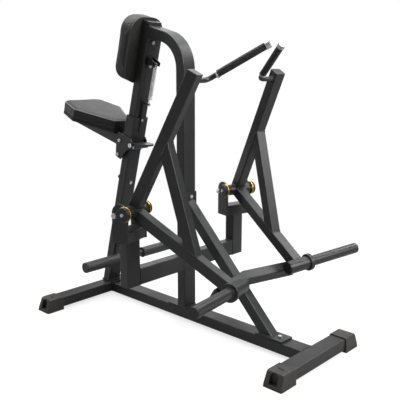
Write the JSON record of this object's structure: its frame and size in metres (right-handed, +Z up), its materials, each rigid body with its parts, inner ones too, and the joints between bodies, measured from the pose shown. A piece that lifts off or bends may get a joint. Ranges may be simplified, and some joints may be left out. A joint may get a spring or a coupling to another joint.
{
  "type": "plate-loaded seated row machine",
  "caption": "Free-standing steel gym machine with a sliding seat, a chest pad and independent lever arms that carry hand grips and plate horns.",
  "frame": {"origin": "on the floor at the centre of the machine's footprint", "axes": "+X from the seat towards the front cross foot, +Y to the seated user's left, +Z up"},
  "size_m": [1.5922, 1.1424, 1.4563],
  "materials": {
    "frame_black": "satin powder coat",
    "plastic_black": "moulded matte plastic",
    "vinyl_black": "fine-grained upholstery vinyl",
    "pad_board": "black stained plywood",
    "rubber_black": "matte",
    "gold_ring": "satin",
    "bronze": "satin",
    "zinc_steel": "zinc plated",
    "spring_zinc": "bright zinc",
    "bright_ring": "satin"
  },
  "bodies": {
    "frame": {"base_spine": "frame_black", "chest_pad": "vinyl_black", "chest_pad_board": "pad_board", "cross_beam": "frame_black", "diagonal_brace": "frame_black", "foot_caps": "plastic_black", "foot_rest_bar": "frame_black", "foot_rest_bracket": "frame_black", "foot_rest_sleeves": "rubber_black", "frame_bolts": "zinc_steel", "frame_tube_plugs": "plastic_black", "front_foot_tube": "frame_black", "hub_caps": "plastic_black", "hub_rings": "gold_ring", "hub_screws": "zinc_steel", "main_upright": "frame_black", "pivot_axles": "zinc_steel", "pivot_ears": "frame_black", "pivot_heads": "frame_black", "rear_foot_tube": "frame_black", "seat_stop_bumper": "rubber_black", "side_posts": "frame_black", "slanted_post": "frame_black", "spring_bracket": "frame_black", "stop_beams": "frame_black", "stop_bumpers": "rubber_black", "travel_stop_bolts": "zinc_steel", "weld_plates": "frame_black", "seat_spring": "spring_zinc"},
    "seat": {"carriage_bolts": "zinc_steel", "carriage_glides": "plastic_black", "carriage_plates": "frame_black", "carriage_sleeve": "frame_black", "rear_roller": "rubber_black", "seat_board": "pad_board", "seat_pad": "vinyl_black", "seat_support_arm": "frame_black"},
    "seat_lever": {"seat_lock_lever": "frame_black"},
    "left_arm": {"left_arm_upper_tube": "frame_black", "left_arm_lower_tube": "frame_black", "left_arm_brace": "frame_black", "left_arm_pivot_tube": "frame_black", "left_arm_bushings": "bronze", "left_handle_bar": "frame_black", "left_hand_grip": "rubber_black", "left_grip_rings": "bright_ring", "left_weight_horn": "frame_black", "left_horn_sleeve_and_collar": "frame_black", "left_arm_end_plugs": "plastic_black"},
    "right_arm": {"right_arm_upper_tube": "frame_black", "right_arm_lower_tube": "frame_black", "right_arm_brace": "frame_black", "right_arm_pivot_tube": "frame_black", "right_arm_bushings": "bronze", "right_handle_bar": "frame_black", "right_hand_grip": "rubber_black", "right_grip_rings": "bright_ring", "right_weight_horn": "frame_black", "right_horn_sleeve_and_collar": "frame_black", "right_arm_end_plugs": "plastic_black"}
  },
  "joints": [
    {"name": "left_arm_pivot", "type": "hinge", "parent": "frame", "child": "left_arm", "pos_m": [0.04435, 0.3444, 0.599], "axis": [-0.2487, -0.9686, 0], "range_deg": [0, 80]},
    {"name": "right_arm_pivot", "type": "hinge", "parent": "frame", "child": "right_arm", "pos_m": [0.04435, -0.3444, 0.599], "axis": [0.2487, -0.9686, 0], "range_deg": [0, 80]},
    {"name": "seat_slide", "type": "slide", "parent": "frame", "child": "seat", "axis": [0.2622, 0, 0.965], "range_m": [-0.108, 0], "deforming": ["seat_spring"]},
    {"name": "lever_pivot", "type": "hinge", "parent": "seat", "child": "seat_lever", "pos_m": [-0.32099, 0, 0.82591], "axis": [0, -1, 0], "range_deg": [0, 25]}
  ]
}
